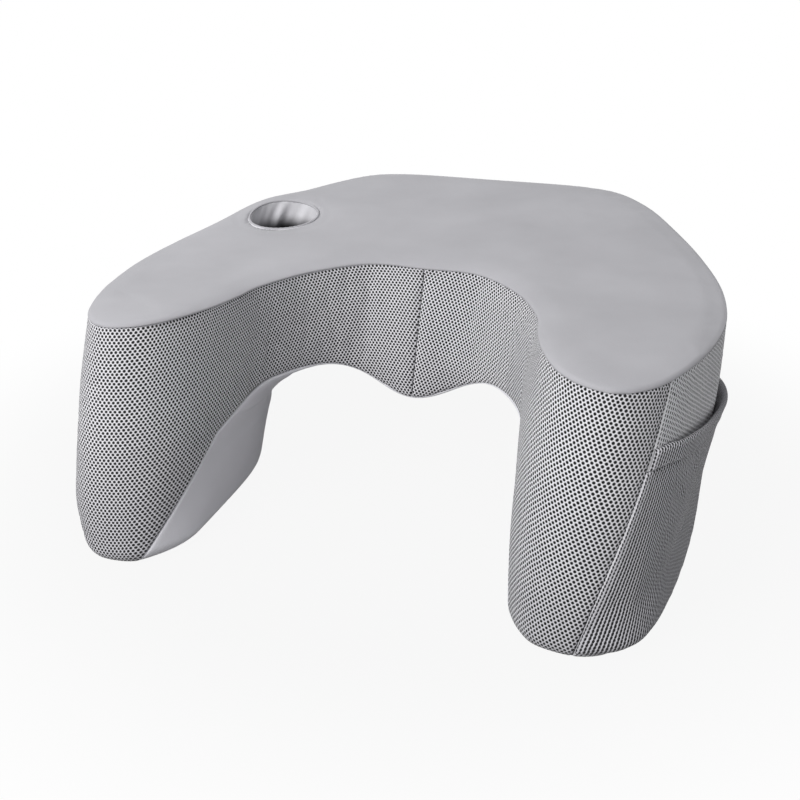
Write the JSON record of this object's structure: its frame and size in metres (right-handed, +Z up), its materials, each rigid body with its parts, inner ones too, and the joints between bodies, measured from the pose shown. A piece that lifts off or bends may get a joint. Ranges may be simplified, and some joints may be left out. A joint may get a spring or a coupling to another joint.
{
  "type": "lap desk pillow",
  "caption": "Foam lap desk pillow that stands over the thighs, with a belly cut-out, smooth knit top, air-mesh walls, a cup well, a side pocket and a zip across the back.",
  "frame": {"origin": "under the middle of the part, on the surface that it stands on", "axes": "+Z up, +Y from the user to the back, +X to the user's right"},
  "size_m": [0.5576, 0.557, 0.2227],
  "materials": {
    "foam": "open-cell foam",
    "knit_top": "smooth brushed knit",
    "air_mesh": "open spacer mesh",
    "knit_lining": "smooth knit",
    "cup_knit": "gathered knit",
    "zip_tape": "woven tape",
    "zip_coil": "satin",
    "zip_metal": "satin plating"
  },
  "bodies": {
    "cushion": {"foam_core": "foam", "top_panel": "knit_top", "front_mesh_left": "air_mesh", "front_mesh_right": "air_mesh", "side_mesh_left": "air_mesh", "side_mesh_right": "air_mesh", "back_mesh_upper": "air_mesh", "back_mesh_lower": "air_mesh", "tunnel_lining": "knit_lining", "sole_left": "knit_lining", "sole_right": "knit_lining", "cup_sleeve": "cup_knit", "cup_base": "cup_knit", "cup_rim": "knit_top", "pocket_panel": "air_mesh", "pocket_hem": "air_mesh", "zip_tape_upper": "zip_tape", "zip_tape_lower": "zip_tape", "zip_coil_upper": "zip_coil", "zip_coil_lower": "zip_coil", "zip_stop_left": "zip_metal", "zip_stop_right": "zip_metal"},
    "slider": {"zip_slider": "zip_metal"},
    "pull": {"zip_pull": "zip_metal"}
  },
  "joints": [
    {"name": "zip_slide", "type": "slide", "parent": "cushion", "child": "slider", "axis": [1, 0, 0], "range_m": [-0.1978, 0]},
    {"name": "pull_swing", "type": "hinge", "parent": "slider", "child": "pull", "pos_m": [0.0947, 0.27654, 0.16036], "axis": [1, 0, 0], "range_deg": [0, 150]}
  ]
}
